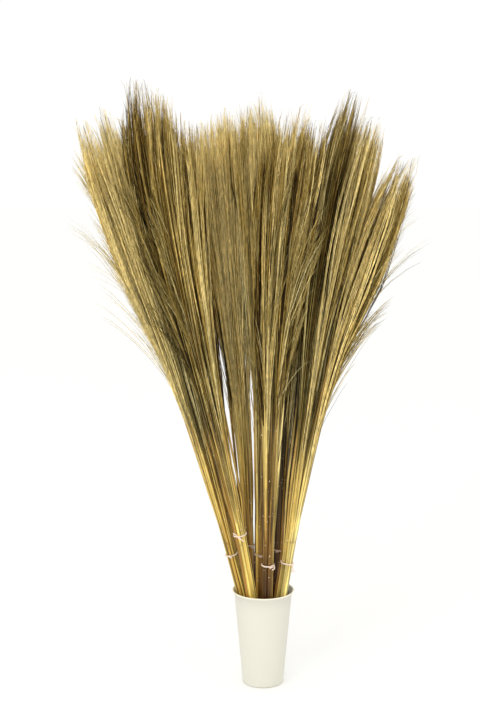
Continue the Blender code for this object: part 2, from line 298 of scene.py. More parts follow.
@dataclass
class Bunch:
    """One tied bunch: where its middle line passes, how it spreads, and its looks."""

    name: str
    stems: int
    foot: tuple
    neck: tuple
    low: tuple
    middle: tuple
    crown: tuple
    spread: tuple
    tie_z: float
    splay: float
    knot_angle: float
    gold_and_painted_shade: tuple  # brightness of its straw, 0 to 1, how that grows per place to the right, and to both sides; the slope and the bend are painted shade and light, darker on the sides where bunches meet
    olive: tuple  # the same for its share of grey green
    cane: tuple  # brightness of its canes at the rim and at the plume, 0 to 1
    hair_start: float  # where its lowest hairs grow, as a share of the plume
    swell: tuple  # how far its outer hairs swell beyond the stems, and bend out at their tips
    bulge: tuple  # how far its side canes stand out on its inner and its outer side
    loose: tuple  # places of the loose canes beside it, at the rim and in the plume
    pale: float  # brightness of its string, 0 to 1: painted shade, low on the strings of the back bunches, which other bunches shade
    # the string's loose ends: heading and curl in degrees, and length
    tails: tuple = ((-50, 30, 0.003), (-130, -30, 0.003))


BUNCHES = (
    Bunch("left", 8, (-0.0190, 0.0), (-0.0326, -0.0030), (-0.0572, -0.0050), (-0.1318, -0.0111),
        (-0.225, -0.022), (0.0258, 0.0435), 0.208, 0.014, -100,
        (0.99, -0.24, -0.06), (0.38, 0.20), (0.72, 0.74), -0.24, (0.014, 0.0), (0.0054, -0.0005),
        ((1.95, 1.40, 1.56, 1.12), (1.60, 2.15, 1.28, 1.72), (2.30, 0.60, 1.84, 0.48)), 0.9,
        ((-25, 20, 0.003), (200, -20, 0.003))),
    Bunch("front_left", 8, (-0.0095, -0.0165), (-0.0178, -0.0268), (-0.0345, -0.0337), (-0.0930, -0.0536),
        (-0.142, -0.086), (0.0320, 0.0390), 0.248, 0.006, -100,
        (0.49, 0.12, -0.22), (0.04, -0.12), (0.62, 0.68), -0.20, (0.006, 0.0),
        (0.0050, 0.0022), (), 1.0, ((140, 8, 0.011), (-42, 10, 0.010))),
    Bunch("back_left", 7, (-0.0095, 0.0165), (-0.0200, 0.0255), (-0.0231, 0.0318), (-0.0425, 0.0522),
        (-0.070, 0.096), (0.0320, 0.0450), 0.212, 0.010, -60,
        (1.16, 0.34, -0.24), (0.0, -0.15), (0.24, 0.88), -0.03, (0.004, 0.0),
        (0.0010, 0.0050), ((-2.30, -1.0, -1.1, -0.3),), 0.3),
    Bunch("middle", 6, (0.0, 0.0), (-0.0040, -0.0070), (-0.0039, -0.0058), (-0.0007, 0.0136),
        (-0.006, 0.030), (0.0295, 0.0430), 0.208, 0.0, -90,
        (0.94, 0.12, -0.16), (0.36, 0.0), (0.06, 0.80), -0.02, (0.004, 0.0),
        (0.0006, 0.0006), ((-1.75, 1.0, -0.3, 1.3), (-1.5, 1.9, -0.2, 1.5)), 0.35,
        ((-30, 30, 0.003), (205, -20, 0.003))),
    Bunch("front_right", 8, (0.0095, -0.0165), (0.0055, -0.0320), (0.0074, -0.0400), (0.0146, -0.0575),
        (0.044, -0.094), (0.0310, 0.0390), 0.201, 0.006, -70,
        (0.55, -0.10, -0.24), (0.02, 0.06), (0.10, 0.76), -0.04, (0.004, 0.0),
        (0.0010, 0.0010), (), 0.85, ((80, -280, 0.016), (0, 20, 0.005))),
    Bunch("right", 8, (0.0190, 0.0), (0.0282, -0.0160), (0.0422, -0.0209), (0.0808, -0.0196),
        (0.148, -0.032), (0.0335, 0.0450), 0.199, 0.036, -40,
        (0.39, 0.20, 0.0), (0.26, -0.25), (0.92, 0.86), -0.24, (0.022, 0.018),
        (0.0062, -0.0012), ((-1.90, 1.40, -1.52, 1.12), (-1.50, 2.15, -1.20, 1.72)), 1.0,
        ((-70, -80, 0.013), (-110, 90, 0.014), (172, -30, 0.011))),
    Bunch("back_right", 7, (0.0095, 0.0165), (0.0215, 0.0245), (0.0265, 0.0313), (0.0390, 0.0556),
        (0.092, 0.096), (0.0340, 0.0450), 0.205, 0.014, -110,
        (0.50, 0.06, 0.0), (0.42, -0.10), (0.06, 0.18), -0.10, (0.006, 0.0),
        (0.0010, 0.0010), (), 0.3),
)


@dataclass
class Stem:
    """One stem of a bunch, with its own colour and random draws."""

    node: str
    bunch: Bunch
    place: tuple
    outwardness: float
    tip_z: float
    tint: float
    chance: np.random.Generator


def rise(z, start, end):
    """How far z has come from start to end, 0 to 1."""
    return np.clip((z - start) / (end - start), 0, 1)


def through(heights, values, z):
    """The smooth cubic that passes four values at four heights, read at heights z."""
    total = np.zeros_like(z)
    for i, value in enumerate(values):
        weight = np.ones_like(z)
        for j, other in enumerate(heights):
            if j != i:
                weight *= (z - other) / (heights[i] - other)
        total += value * weight
    return total


def middle_line(bunch, z):
    """The bunch's middle at heights z: straight inside the vase, curved above it."""
    heights = (NECK_Z, LOW_Z, MIDDLE_Z, CROWN_Z)
    stations = (bunch.neck, bunch.low, bunch.middle, bunch.crown)
    lines = []
    for axis in (0, 1):
        curved = through(heights, [station[axis] for station in stations], z)
        straight = np.interp(z, (FOOT_Z, NECK_Z), (bunch.foot[axis], bunch.neck[axis]))
        lines.append(np.where(z < NECK_Z, straight, curved))
    return np.stack(lines, -1)


def spreading(bunch, z):
    """How far the bunch has opened at heights z: 0 up to the tie, 1 when fully spread."""
    share = rise(z, bunch.tie_z, FULL_SPREAD_Z)
    return np.sin(math.pi / 2 * share) ** SPREAD_POWER


def pitch(bunch, z):
    """Distance between neighbouring stems along x and y at heights z."""
    return CANE_PITCH + (np.array(bunch.spread) - CANE_PITCH) * spreading(bunch, z)[..., None]


def outward(bunch):
    """The level direction in which the bunch leans."""
    lean = np.array(bunch.crown) - np.array(bunch.foot)
    return lean / np.linalg.norm(lean)


def outwardness(bunch, place):
    """How far a place lies on the side to which the bunch leans, 0 to 1."""
    length = math.hypot(*place)
    return max(0.0, float(np.dot(place, outward(bunch))) / length) if length else 0.0


def centre_at(bunch, place, z):
    """The middle at heights z, as x and y, of a stalk that has this place in the bunch."""
    lean = outward(bunch) * (bunch.splay * outwardness(bunch, place) ** 2) * spreading(bunch, z)[..., None]
    return middle_line(bunch, z) + pitch(bunch, z) * np.array(place) + lean


def stem_centre(stem, z):
    return centre_at(stem.bunch, stem.place, z)


def places_in(bunch):
    """One stem in the middle and the others in a ring round it, in pitches, the first at the knot."""
    count = bunch.stems - 1
    radius = max(1.0, 0.5 / math.sin(math.pi / count))
    angles = [math.radians(bunch.knot_angle) + 2 * math.pi * i / count for i in range(count)]
    return [(0.0, 0.0)] + [(radius * math.cos(a), radius * math.sin(a)) for a in angles]


def stems_of(bunch, number_of_bunch):
    """The stems of a bunch, each ending at the height of its solid."""
    stems = []
    for number, place in enumerate(places_in(bunch), 1):
        node = f"{bunch.name}_stem_{number}"
        chance = np.random.default_rng([number_of_bunch, number])
        tint = chance.normal(0, STEM_SCATTER)
        stems.append(Stem(node, bunch, place, outwardness(bunch, place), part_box(node)[1][2], tint, chance))
    return stems


def circle(angles):
    """Places on the unit circle, as x and y."""
    return np.stack((np.cos(angles), np.sin(angles)), -1)


def unit(vectors):
    return vectors / np.linalg.norm(vectors, axis=-1, keepdims=True)


def put(name, data):
    """A new object of the scene that shows this data."""
    made = bpy.data.objects.new(name, data)
    bpy.context.scene.collection.objects.link(made)
    return made


class Surface:
    """Collects shapes into one mesh, each with its own rectangle on the mesh's flat map.

    Shift is a number that moves the grain of its canes.
    """

    def __init__(self, shift=0.0):
        self.shift = shift
        self.points = []
        self.shades = []
        self.corners = []
        self.places = []
        self.sizes = []
        self.slots = []
        self.count = 0

    def add_points(self, points, shades):
        """Adds points with their shades, and returns their numbers in the same arrangement."""
        numbers = self.count + np.arange(points.size // 3).reshape(points.shape[:-1])
        self.points.append(points.reshape(-1, 3))
        self.shades.append(shades.reshape(-1, 3))
        self.count += numbers.size
        return numbers

    def add_faces(self, corners, places, slot):
        """Adds faces of equal corner count, with the place of each corner on the flat map."""
        size = corners.shape[-1]
        self.corners.append(corners.ravel())
        self.places.append(places.reshape(-1, 2))
        self.sizes.append(np.full(corners.size // size, size))
        self.slots.append(np.full(corners.size // size, slot))

    def add_tubes(self, paths, radii, shades, sides, sheet, slot=FIRST_SLOT, guide=TOWARDS_VIEWER):
        """Adds closed, pointed tubes along paths, an array of tube, ring and place.

        The last ring is the point. Sheet is the part of the flat map that they share, and guide is
        a direction that no tube runs along.
        """
        tubes, rings = paths.shape[:2]
        along = unit(np.gradient(paths, axis=1))
        first = unit(np.cross(along, guide))
        second = np.cross(along, first)
        angles = math.tau * np.arange(sides) / sides
        spokes = first[:, :, None] * np.cos(angles)[:, None] + second[:, :, None] * np.sin(angles)[:, None]
        walls = paths[:, :-1, None] + spokes[:, :-1] * radii[:, :-1, None, None]
        corner = self.add_points(walls, np.repeat(shades[:, :-1, None], sides, 2))
        point = self.add_points(paths[:, -1], shades[:, -1])

        left, right, columns = sheet
        rows = math.ceil(tubes / columns)
        cell = np.array(((right - left) / columns, 1 / rows))
        order = np.arange(tubes)
        origin = np.array((left, 0.0)) + cell * np.stack((order % columns, order // columns), -1)

        def placed(across, up):
            """Places in every tube's rectangle, from shares across and up the tube."""
            shares = np.stack((across, up), -1) * WALL_SIZE + WALL_CORNER
            return origin[:, None] + shares.reshape(1, -1, 2) * cell

        side = np.arange(sides) / sides
        next_side = side + 1 / sides
        low = (np.arange(rings - 2) / (rings - 1))[:, None] + 0 * side
        high = low + 1 / (rings - 1)
        after = np.roll(corner, -1, axis=2)
        quads = np.stack((corner[:, :-1], after[:, :-1], after[:, 1:], corner[:, 1:]), -1)
        across = np.stack((side, next_side, next_side, side), -1) + 0 * low[..., None]
        self.add_faces(quads, placed(across, np.stack((low, low, high, high), -1)), slot)
        tips = np.stack((corner[:, -1], after[:, -1], np.broadcast_to(point[:, None], (tubes, sides))), -1)
        shoulder = np.full(sides, (rings - 2) / (rings - 1))
        across = np.stack((side, next_side, side + 0.5 / sides), -1)
        self.add_faces(tips, placed(across, np.stack((shoulder, shoulder, 1 + 0 * side), -1)), slot)
        across = END_MIDDLE[0] + END_RADII[0] * np.cos(angles[::-1])
        up = END_MIDDLE[1] + END_RADII[1] * np.sin(angles[::-1])
        self.add_faces(corner[:, 0, ::-1], placed(across, up), slot)

    def add_turned(self, outline, shades, sides):
        """Adds a shape turned from an outline of radius and height that starts and ends on the axis."""
        turns = math.tau * np.arange(sides) / sides
        walls = np.zeros((len(outline) - 2, sides, 3))
        walls[..., :2] = outline[1:-1, None, :1] * circle(turns)
        walls[..., 2] = outline[1:-1, None, 1]
        corner = self.add_points(walls, np.repeat(shades[1:-1, None], sides, 1))
        middles = np.zeros((2, 3))
        middles[:, 2] = outline[[0, -1], 1]
        low_middle, high_middle = self.add_points(middles, shades[[0, -1]])

        steps = np.linalg.norm(np.diff(outline, axis=0), axis=1)
        up = TURNED_MARGIN + TURNED_SIZE * np.concatenate(([0], np.cumsum(steps))) / steps.sum()
        side = TURNED_MARGIN + TURNED_SIZE * np.arange(sides) / sides
        next_side = side + TURNED_SIZE / sides
        after = np.roll(corner, -1, axis=1)
        quads = np.stack((corner[:-1], after[:-1], after[1:], corner[1:]), -1)
        across = np.stack((side, next_side, next_side, side), -1) + np.zeros((len(quads), 1, 1))
        low, high = up[1:-2, None, None], up[2:-1, None, None]
        levels = np.concatenate((low, low, high, high), -1) + 0 * across
        self.add_faces(quads, np.stack((across, levels), -1), FIRST_SLOT)
        for ring, middle, start, end in ((0, low_middle, up[1], up[0]), (-1, high_middle, up[-2], up[-1])):
            fan = np.stack((corner[ring], after[ring], np.full(sides, middle)), -1)
            across = np.stack((side, next_side, (side + next_side) / 2), -1)
            levels = np.array((start, start, end)) + 0 * across
            if ring == 0:
                fan, across = fan[:, [1, 0, 2]], across[:, [1, 0, 2]]
            self.add_faces(fan, np.stack((across, levels), -1), FIRST_SLOT)

    def to_object(self, name, materials):
        mesh = bpy.data.meshes.new(name)
        corners = np.concatenate(self.corners)
        sizes = np.concatenate(self.sizes)
        mesh.vertices.add(self.count)
        mesh.vertices.foreach_set("co", np.concatenate(self.points).astype(np.float32).ravel())
        mesh.loops.add(len(corners))
        mesh.loops.foreach_set("vertex_index", corners)
        mesh.polygons.add(len(sizes))
        mesh.polygons.foreach_set("loop_start", np.concatenate(([0], np.cumsum(sizes)[:-1])))
        mesh.polygons.foreach_set("material_index", np.concatenate(self.slots))
        mesh.update(calc_edges=True)
        for material in materials:
            mesh.materials.append(material)
        flat_map = mesh.uv_layers.new(name="OFBake")
        flat_map.data.foreach_set("uv", np.concatenate(self.places).astype(np.float32).ravel())
        colours = np.ones((self.count, 4), np.float32)
        colours[:, :3] = np.concatenate(self.shades)
        colours[:, 3] = self.shift
        mesh.color_attributes.new("shade", "FLOAT_COLOR", "POINT").data.foreach_set("color", colours.ravel())
        mesh.shade_smooth()
        return put(name, mesh)


def cane_radius(stem, z):
    """Full width up to the tie, then thinner to the plume, and thinnest at the tip."""
    heights = (FOOT_Z, stem.bunch.tie_z, PLUME_Z, stem.tip_z)
    return np.interp(z, heights, (CANE_RADIUS, CANE_RADIUS, PLUME_CANE_RADIUS, PLUME_TIP_RADIUS))


def cane_shades(stem, z, darker=0.0):
    """Brightness of one cane, with painted shade where it runs among the hair, how far up it each ring is,
    and no joints yet.
    """
    at_rim, at_plume = stem.bunch.cane
    up = rise(z, NECK_Z, PLUME_Z)
    shades = np.zeros((1, len(z), 3))
    shades[..., 0] = at_rim + (at_plume - at_rim) * up + stem.chance.normal(-darker, CANE_SCATTER)
    # painted shade: canes darken where they run among the hair
    hair_z = PLUME_Z + HIDDEN_RISE + HIDDEN_SLOPE * stem.bunch.hair_start
    shades[..., 0] -= HIDDEN_PAINTED_SHADE * np.clip((z - hair_z) / HIDDEN_LENGTH, 0, 1)
    shades[..., 1] = up
    return shades


def add_cane(surface, stem):
    """The cane with its joints, which runs on through the plume as its slim core."""
    joints = NECK_Z + np.cumsum(stem.chance.uniform(*JOINT_SPACING, JOINTS))
    joints = np.sort(joints[joints < PLUME_Z])
    plain = np.arange(FOOT_Z + CANE_RING_STEP, stem.tip_z, CANE_RING_STEP)
    near = [joints + offset for offset in (-JOINT_LENGTH, -JOINT_EDGE, JOINT_EDGE, JOINT_LENGTH)]
    z = np.sort(np.concatenate(([FOOT_Z], plain, *near, [stem.tip_z])))
    distance = np.abs(z[:, None] - np.append(joints, 0)).min(1)
    path = np.column_stack((stem_centre(stem, z), z))[None]
    radii = cane_radius(stem, z) * (1 + JOINT_SWELL * (distance < JOINT_LENGTH / 2))
    shades = cane_shades(stem, z)
    shades[..., 2] = np.clip(1 - distance / (2 * JOINT_LENGTH), 0, 1)
    surface.add_tubes(path, radii[None], shades, CANE_SIDES, CANE_SHEET)


def add_side_canes(surface, stem):
    """Slim stalks beside a ring stem, which fill the bunch from above the string up to the plume.

    Two stand between the stem and its neighbours. The third stands outside it, where the bunch bulges.
    """
    bunch = stem.bunch
    places = places_in(bunch)
    number = places.index(stem.place)
    if number == 0:
        return
    neighbour = places[number % (len(places) - 1) + 1]
    start = bunch.tie_z + SIDE_CANE_START
    z = np.linspace(start, SIDE_CANE_END_Z, SIDE_CANE_RINGS)
    aim = unit(np.array(stem.place))
    inner, outer = bunch.bulge
    facing = float(aim @ outward(bunch))
    bulge = CANE_RADIUS + (outer if facing > 0 else inner) * abs(facing)
    out = aim * (bulge * np.interp(z, (start, BULGE_Z, MIDDLE_Z), SIDE_CANE_BULGES))[:, None]
    for index, other in enumerate((neighbour, places[0], stem.place)):
        share = stem.chance.uniform(*SIDE_CANE_BETWEEN)
        path = stem_centre(stem, z) * (1 - share) + centre_at(bunch, other, z) * share
        path += out if index == 2 else 0
        stations = (start, BULGE_Z, PLUME_Z, SIDE_CANE_END_Z)
        radii = SIDE_CANE_RADIUS * np.interp(z, stations, SIDE_CANE_WIDTHS)
        shades = cane_shades(stem, z, SIDE_CANE_SHADE)
        path = np.column_stack((path, z))[None]
        surface.add_tubes(path, radii[None], shades, SIDE_CANE_SIDES, SIDE_CANE_SHEETS[index])


def add_loose_cane(surface, stem, place):
    """A cane, dark with painted shade, that stands in the vase beside the bunch, and isn't tied by its
    string.
    """
    z = np.linspace(FOOT_Z, SIDE_CANE_END_Z, 2 * SIDE_CANE_RINGS)
    bunch = stem.bunch
    at_rim, at_plume = np.array(place[:2]), np.array(place[2:])
    rising = rise(z, NECK_Z, MIDDLE_Z)[:, None]
    closer = np.interp(z, (FOOT_Z, NECK_Z), (LOOSE_CANE_FOOT, 1))[:, None]
    path = middle_line(bunch, z) + pitch(bunch, z) * (at_rim + (at_plume - at_rim) * rising) * closer
    radii = LOOSE_CANE_RADIUS * np.interp(z, (FOOT_Z, PLUME_Z, SIDE_CANE_END_Z), LOOSE_CANE_WIDTHS)
    shades = cane_shades(stem, z, LOOSE_CANE_PAINTED_SHADE)
    path = np.column_stack((path, z))[None]
    surface.add_tubes(path, radii[None], shades, SIDE_CANE_SIDES, LOOSE_CANE_SHEET)


def clumps_of(stem):
    """Where the pointed clumps of a plume end, across it and up it: one in the middle, others round it."""
    chance = stem.chance
    around = CLUMPS - 1
    turn = chance.uniform(0, math.tau) + math.tau * np.arange(around) / around
    turn += chance.normal(0, CLUMP_TURN_SCATTER, around)
    reach = chance.uniform(*CLUMP_REACH, around)[:, None]
    ends = np.concatenate(([(0.0, 0.0)], reach * circle(turn)))
    peaks = np.append(chance.uniform(*MIDDLE_PEAK), chance.uniform(*OUTER_PEAKS, around))
    return ends, peaks


def long_hairs(stem):
    """Paths, radii and shades of the plume's long hairs, which run up it in narrow locks.

    Towards the top the locks gather into a few pointed clumps.
    """
    chance, bunch = stem.chance, stem.bunch
    out = outward(bunch)
    ends, peaks = clumps_of(stem)
    rank = (np.arange(LOCKS) + chance.uniform(0, 1, LOCKS)) / LOCKS
    root = bunch.hair_start + (HIGHEST_ROOT - bunch.hair_start) * rank ** ROOT_POWER
    angle = chance.uniform(0, math.tau) + GOLDEN_ANGLE * np.arange(LOCKS)
    reach = np.sqrt(chance.uniform(*LOCK_REACH, LOCKS))
    aim = circle(angle)
    place = aim * reach[:, None]
    clump = np.linalg.norm(place[:, None] - ends, axis=-1).argmin(1)
    end, peak = ends[clump], peaks[clump]
    clump_tint = chance.normal(0, CLUMP_SCATTER, CLUMPS)[clump]
    tip = peak - LOCK_TIP_DROP * (1 - rank) ** LOCK_TIP_POWER * chance.uniform(*LOCK_TIP_SCATTER, LOCKS)
    swell = bunch.swell[0] * stem.outwardness * chance.uniform(*SWELL_SCATTER, LOCKS)
    lag = chance.uniform(0, 1, LOCKS)
    # painted shade: hairs near the plume's core and hairs aimed at the back are darker; the rest of the tint
    # differs at random
    tint = chance.normal(0, LOCK_SCATTER, LOCKS) + CORE_PAINTED_SHADE * (reach - CORE_REACH) - BACK_PAINTED_SHADE * aim[:, 1]
    tint += clump_tint + SECTOR_SCATTER * np.sin(2 * angle + chance.uniform(0, math.tau))
    olive = chance.normal(0, OLIVE_SCATTER, LOCKS)
    wave = chance.normal(0, LOCK_WAVE, (LOCKS, 2))
    drift = chance.normal(0, LOCK_DRIFT, (LOCKS, 2))
    phase = chance.uniform(0, math.tau, LOCKS)
    root, tip, aim, place, end, peak, swell, lag, tint, olive, wave, drift, phase = (
        np.repeat(values, HAIRS_PER_LOCK, 0)
        for values in (root, tip, aim, place, end, peak, swell, lag, tint, olive, wave, drift, phase))

    count = LOCKS * HAIRS_PER_LOCK
    start = chance.uniform(0, HAIR_START, count) ** HAIR_START_POWER
    tip = tip - HAIR_TIP_DROP * chance.uniform(0, 1, count)
    share = np.linspace(0, 1, HAIR_RINGS)
    along = start[:, None] + (1 - start[:, None]) * share
    height = root[:, None] + (tip - root)[:, None] * along
    z = PLUME_Z + (stem.tip_z - PLUME_Z) * height
    opening = np.minimum(1, OPENING * along ** OPENING_POWER)
    gathering = GATHERING * np.clip(1 - (peak[:, None] - height) / CLUMP_LENGTH, 0, 1) ** GATHERING_POWER
    towards = (aim @ out)[:, None]
    outer = HUGGING * stem.outwardness * np.clip(towards, 0, 1)
    hugging = 1 - outer * np.clip(1 - height / HUGGING_SHARE, 0, 1)
    across = place[:, None] + drift[:, None] * np.clip(height - DRIFT_START, 0, 1)[..., None]
    across += (end[:, None] - across) * gathering[..., None]
    aside = across * pitch(bunch, z) / 2 * (opening * hugging)[..., None]
    swelling = np.interp(height, SWELL_SHARES, SWELL_SIZES) * np.clip(SWELL_SIDE + towards, 0, 1)
    lagging = bunch.splay * stem.outwardness ** 2 * np.clip(LAG_SIDE - towards, 0, 1) * spreading(bunch, z)
    lagging *= lag[:, None] * np.clip(LAG_END - height ** 2, 0, 1)
    bending = bunch.swell[1] * stem.outwardness ** 2 * np.clip(height, 0, 1) ** BEND_POWER
    aside += out * (swell[:, None] * swelling - lagging + bending)[..., None]
    loose = 1 + LOOSE_WIDTH * (chance.uniform(0, 1, count) < LOOSE_HAIRS)
    parting = chance.normal(0, 1, (count, 2)) * loose[:, None]
    width = LOCK_WIDTH + (LOCK_TIP_WIDTH - LOCK_WIDTH) * share ** LOCK_WIDTH_POWER
    aside += parting[:, None] * (width * np.minimum(1, LOCK_ROOT_WIDTH + LOCK_PARTING * share))[:, None]
    aside += wave[:, None] * np.sin(WAVE_SPEED * height + phase[:, None])[..., None]
    paths = hair_paths(stem, z, aside)
    thickness = HAIR_RADIUS * chance.uniform(*HAIR_RADIUS_SCATTER, count)[:, None]
    radii = thickness * np.interp(share, HAIR_SHARES, HAIR_WIDTHS)
    return paths, radii, long_hair_shades(stem, height, tint, olive)


def long_hair_shades(stem, height, tint, olive):
    """Brightness, share of grey green and own level of every hair, at heights up the plume."""
    chance, bunch = stem.chance, stem.bunch
    right, back = stem.place
    count = len(height)
    shades = np.zeros((*height.shape, 3))
    level, slope, bend = bunch.gold_and_painted_shade
    # painted shade: stems are darker on the sides where bunches meet and towards the bunch's back
    gold_and_painted_shade = level + slope * right + bend * right ** 2 - BACK_PAINTED_SHADE * back + stem.tint
    green = bunch.olive[0] + bunch.olive[1] * right
    own = tint + chance.normal(DARK_HAIRS * DARKER, HAIR_SCATTER, count)
    own -= DARKER * (chance.uniform(0, 1, count) < DARK_HAIRS)
    fading = rise(height, FADE_START, 1)
    shades[..., 0] = gold_and_painted_shade + own[:, None] * (1 - FADE_LIKENESS * fading)
    shades[..., 0] += RISE_LIGHT * (height - 0.5) + FADE_LIGHT * fading
    shades[..., 1] = (green + olive)[:, None] + OLIVE_FALL * (OLIVE_HEIGHT - height)
    shades[..., 2] = chance.uniform(0, 1, count)[:, None]
    return shades


def hair_paths(stem, z, aside):
    """Paths at offsets from the stem's middle, smaller for a hair that would leave the bundle's room."""
    centre = stem_centre(stem, z)
    low = np.array(cad_box[0])[:2] - ROOM
    high = np.array(cad_box[1])[:2] + ROOM
    allowed = np.where(aside > 0, high - centre, low - centre)
    small = np.abs(aside) < 1e-6
    share = np.where(small, 1, allowed / np.where(small, 1, aside))
    kept = aside * np.clip(share, 0, 1).min((1, 2), keepdims=True)
    return np.concatenate((centre + kept, z[..., None]), -1)


def leaving_hairs(stem, groups, hairs, lowest, flare, scatter):
    """Hairs that leave the plume in small groups and bend away, each group to its own point."""
    chance, bunch = stem.chance, stem.bunch
    lean = outward(bunch)
    root = lowest + (LEAVING_HIGHEST - lowest) * (np.arange(groups) + chance.uniform(0, 1, groups)) / groups
    tip = root + chance.uniform(*LEAVING_LENGTH, groups)
    flare = flare * chance.uniform(*FLARE_SCATTER, groups) ** FLARE_POWER
    flare *= np.interp(root, FLARE_SHARES, FLARE_SIZES)
    heading = math.atan2(lean[1], lean[0]) + chance.normal(0, scatter, groups)
    tint = chance.normal(0, LEAVING_TINT_SCATTER, groups)
    root, tip, flare, heading, tint = (
        np.repeat(values, hairs) for values in (root, tip, flare, heading, tint))

    count = groups * hairs
    root = root + LEAVING_ROOT_SCATTER * chance.uniform(-1, 1, count)
    tip = tip - LEAVING_TIP_DROP * chance.uniform(0, 1, count) ** LEAVING_TIP_POWER
    tip = np.minimum(tip, LEAVING_TOP)
    heading = heading + chance.normal(0, LEAVING_TURN_SCATTER, count)
    aim = circle(heading)
    share = np.linspace(0, 1, LEAVING_RINGS)
    height = root[:, None] + (tip - root)[:, None] * (1 - (1 - share) ** LEAVING_PACE)
    z = PLUME_Z + (stem.tip_z - PLUME_Z) * height
    aside = aim[:, None] * pitch(bunch, z) / 2 * np.minimum(1, LEAVING_OPENING * share)[:, None]
    aside += aim[:, None] * (flare[:, None] * share ** 2)[..., None]
    aside += chance.normal(0, SWAY, (count, 2))[:, None] * np.sin(math.pi * (0.1 + 0.8 * share))[:, None]
    paths = hair_paths(stem, z, aside)
    thickness = LEAVING_RADIUS * (1 - LEAVING_THINNING * share ** 2)
    radii = thickness * chance.uniform(*LEAVING_WIDTHS, count)[:, None]
    shades = np.zeros((count, LEAVING_RINGS, 3))
    # the slope is painted shade and light, as for the long hairs
    gold_and_painted_shade = bunch.gold_and_painted_shade[0] + bunch.gold_and_painted_shade[1] * stem.place[0] + tint
    shades[..., 0] = gold_and_painted_shade[:, None] + LEAVING_LIGHT * share
    shades[..., 0] += chance.normal(*LEAVING_SHADE, count)[:, None]
    shades[..., 1] = chance.normal(*LEAVING_OLIVE, count)[:, None]
    shades[..., 2] = chance.uniform(0, 1, count)[:, None]
    return paths, radii, shades


def fringe(stem, paths, shades):
    """Short fine hairs that leave the long ones at a slant."""
    chance = stem.chance
    parent = chance.integers(0, len(paths), FRINGE)
    ring = chance.integers(FRINGE_FIRST_RING, HAIR_RINGS - 1, FRINGE)
    between = chance.uniform(0, 1, FRINGE)[:, None]
    low, high = paths[parent, ring], paths[parent, ring + 1]
    root = low + (high - low) * between
    along = unit(high - low)
    turn = chance.uniform(0, math.tau, FRINGE)
    aside = np.stack((np.cos(turn), np.sin(turn), 0 * turn), -1)
    length = chance.uniform(*FRINGE_LENGTH, FRINGE)[:, None]
    slant = chance.uniform(*FRINGE_SLANT, FRINGE)[:, None]
    share = np.linspace(0, 1, FRINGE_RINGS)[:, None]
    made = root[:, None] + (along * length)[:, None] * share
    made += (aside * length * slant)[:, None] * share ** FRINGE_BEND
    highest = stem.tip_z + FRINGE_ROOM + FRINGE_ROOM_STEP * np.arange(FRINGE_RINGS)
    made[..., 2] = np.minimum(made[..., 2], highest)
    thickness = FRINGE_RADIUS * (1 - FRINGE_THINNING * share[:, 0])
    radii = thickness * chance.uniform(*FRINGE_WIDTHS, FRINGE)[:, None]
    own = np.repeat(shades[parent, ring][:, None], FRINGE_RINGS, 1)
    own[..., 0] += FRINGE_LIGHT
    return made, radii, own


def add_plume(surface, stem):
    paths, radii, shades = long_hairs(stem)
    kind = OUTER_STRAYS if stem.outwardness > OUTERMOST else INNER_STRAYS
    strays = leaving_hairs(stem, STRAY_GROUPS, HAIRS_PER_STRAY_GROUP, *kind)
    groups = [((paths, radii, shades), LONG_HAIR_SHEET), (strays, STRAY_SHEET)]
    if stem.outwardness > OUTER:
        kind = (TUFT_LOWEST, TUFT_FLARE * stem.outwardness, TUFT_TURN_SCATTER)
        groups.append((leaving_hairs(stem, TUFTS, HAIRS_PER_TUFT, *kind), TUFT_SHEET))
    groups.append((fringe(stem, paths, shades), FRINGE_SHEET))
    for hairs, sheet in groups:
        surface.add_tubes(*hairs, HAIR_SIDES, sheet, HAIR_SLOT)


def evenly(points, step):
    """The same path with its points a step apart."""
    walked = np.concatenate(([0], np.cumsum(np.linalg.norm(np.diff(points, axis=0), axis=1))))
    places = np.linspace(0, walked[-1], max(4, round(walked[-1] / step)))
    return np.stack([np.interp(places, walked, points[:, axis]) for axis in range(points.shape[1])], -1)


def string_turns(bunch):
    """The string's path round the bunch, square to its lean, and the place and direction of its knot."""
    turn = math.pi / (bunch.stems - 1)
    away = CANE_RADIUS + STRING_GAP + STRING_RADIUS
    below, middle = middle_line(bunch, np.array((bunch.tie_z - SLOPE_STEP, bunch.tie_z)))
    slope = (middle - below) / SLOPE_STEP
    offsets = []
    for place in places_in(bunch)[1:]:
        facing = math.atan2(place[1], place[0])
        for angle in (facing - turn, facing, facing + turn):
            offsets.append(CANE_PITCH * np.array(place) + away * np.array((math.cos(angle), math.sin(angle))))
    once = np.array(offsets[1:] + offsets[:2])
    offsets = evenly(np.concatenate([once] + [once[1:]] * (TURNS - 1)), STRING_STEP)
    z = bunch.tie_z - offsets @ slope + TURNS_RISE * np.linspace(-0.5, 0.5, len(offsets))
    path = np.column_stack((middle + offsets, z))
    facing = math.radians(bunch.knot_angle)
    return path, path[0], np.array((math.cos(facing), math.sin(facing), 0.0))


def add_string(surface, path, pale, sheet, guide):
    """Two plies twisted round a path that never runs along the guide."""
    along = unit(np.gradient(path, axis=0))
    first = unit(np.cross(along, guide))
    second = np.cross(along, first)
    walked = np.arange(len(path)) * STRING_STEP
    twist = math.tau * walked / TWIST_LENGTH + np.array((0, math.pi))[:, None]
    plies = path + PLY_OFFSET * (np.cos(twist)[..., None] * first + np.sin(twist)[..., None] * second)
    radii = np.full(plies.shape[:2], PLY_RADIUS)
    surface.add_tubes(plies, radii, np.full_like(plies, pale), STRING_SIDES, sheet, guide=guide)


